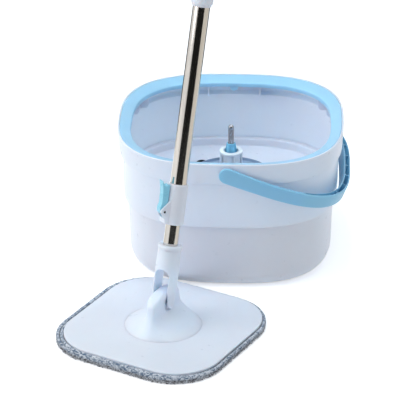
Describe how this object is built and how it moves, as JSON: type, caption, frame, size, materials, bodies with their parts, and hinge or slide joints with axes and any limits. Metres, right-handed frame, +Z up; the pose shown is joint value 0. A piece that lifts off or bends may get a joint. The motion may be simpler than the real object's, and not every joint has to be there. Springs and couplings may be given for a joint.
{
  "type": "spin mop and bucket",
  "caption": "Square-head spin mop with a pump-action pole and lock lever beside its rounded-square washing bucket with a spin seat and hinged bail.",
  "frame": {"origin": "centre of the bucket's flat base, on the floor", "axes": "+Z up, +X along the bucket towards the side its bail rests on, -Y towards the mop head"},
  "size_m": [0.4338, 0.622, 1.1831],
  "materials": {
    "white_pp": "moulded white polypropylene, satin gloss",
    "blue_pp": "moulded light blue polypropylene",
    "nylon": "natural nylon",
    "steel": "plain stainless steel",
    "hub_blue": "moulded blue polypropylene",
    "disc_grey": "moulded blue-grey polypropylene",
    "cage_clear": "translucent polypropylene",
    "bail_blue": "moulded blue polypropylene",
    "hook_tape": "woven hook tape",
    "pad_cloth": "woven polyester backing",
    "pad_microfibre": "looped microfibre",
    "pad_edge": "flecked chenille edge",
    "pole_steel": "polished stainless tube",
    "nut_acetal": "acetal",
    "lever_teal": "moulded teal plastic",
    "strip_steel": "galvanised twisted strip",
    "grip_blue": "soft blue grip",
    "black_rubber": "black rubber"
  },
  "bodies": {
    "bucket": {"bucket_shell": "white_pp", "rim_ring": "blue_pp", "separator_tray": "white_pp", "drain_ring": "black_rubber", "upper_bush": "nylon", "lower_bush": "nylon"},
    "spin_seat": {"drive_hub": "hub_blue", "wash_disc": "disc_grey", "cage_collar": "cage_clear", "spindle_pin": "steel", "spindle_washer": "steel", "spindle_screw": "steel"},
    "bail": {"bail_handle": "bail_blue", "bail_clips": "nylon"},
    "mop_head": {"mop_plate": "white_pp", "knuckle_dome": "white_pp", "dome_screws": "steel", "pivot_pin": "steel", "hook_strips": "hook_tape", "pad_backing": "pad_cloth", "pad_pile": "pad_microfibre", "pad_binding": "pad_edge"},
    "lower_pole": {"fork_socket": "white_pp", "fork_screw": "steel", "inner_tube": "pole_steel", "nut_housing": "nylon"},
    "pole_swivel": {"tube_glide": "nylon"},
    "drive_nut": {"drive_nut": "nut_acetal"},
    "upper_pole": {"outer_tube": "pole_steel", "guide_bush": "nylon", "lock_sleeve": "white_pp", "lever_pin": "steel", "drive_rod": "strip_steel", "rod_stop": "nylon", "rod_plug": "nylon", "coupling_stud": "nylon", "coupling_collar": "white_pp", "upper_tube": "pole_steel", "pole_grip": "grip_blue", "hanging_cap": "white_pp"},
    "lock_lever": {"lock_lever": "lever_teal"}
  },
  "joints": [
    {"name": "seat_spin", "type": "hinge", "parent": "bucket", "child": "spin_seat", "pos_m": [0, 0, 0.1135], "axis": [0, 0, 1], "continuous": true},
    {"name": "bail_swing", "type": "hinge", "parent": "bucket", "child": "bail", "pos_m": [0, 0, 0.201], "axis": [0, -1, 0], "range_deg": [0, 222.8]},
    {"name": "lift_out", "type": "slide", "parent": "bucket", "child": "mop_head", "axis": [0, -0.4226, 0.9063], "range_m": [0, 0.3]},
    {"name": "pole_tilt", "type": "hinge", "parent": "mop_head", "child": "lower_pole", "pos_m": [-0.0903, -0.2877, 0.052], "axis": [-0.8834, 0.4685, 0], "range_deg": [-105.1, 15]},
    {"name": "pole_spin", "type": "hinge", "parent": "lower_pole", "child": "pole_swivel", "pos_m": [-0.04245, -0.19748, 0.43046], "axis": [0.1221, 0.2301, 0.9655], "continuous": true},
    {"name": "pump", "type": "slide", "parent": "pole_swivel", "child": "upper_pole", "axis": [0.1221, 0.2301, 0.9655], "range_m": [-0.0315, 0.238]},
    {"name": "nut_turn", "type": "hinge", "parent": "pole_swivel", "child": "drive_nut", "pos_m": [-0.04331, -0.1991, 0.42371], "axis": [0.1221, 0.2301, 0.9655], "range_deg": [-110, 800]},
    {"name": "lock_swing", "type": "hinge", "parent": "upper_pole", "child": "lock_lever", "pos_m": [-0.09108, -0.26482, 0.18813], "axis": [0.4642, -0.873, 0.1494], "range_deg": [0, 85]}
  ],
  "couplings": [
    {"joint": "nut_turn", "follows": "pump", "rad_per_m": 57.12}
  ]
}
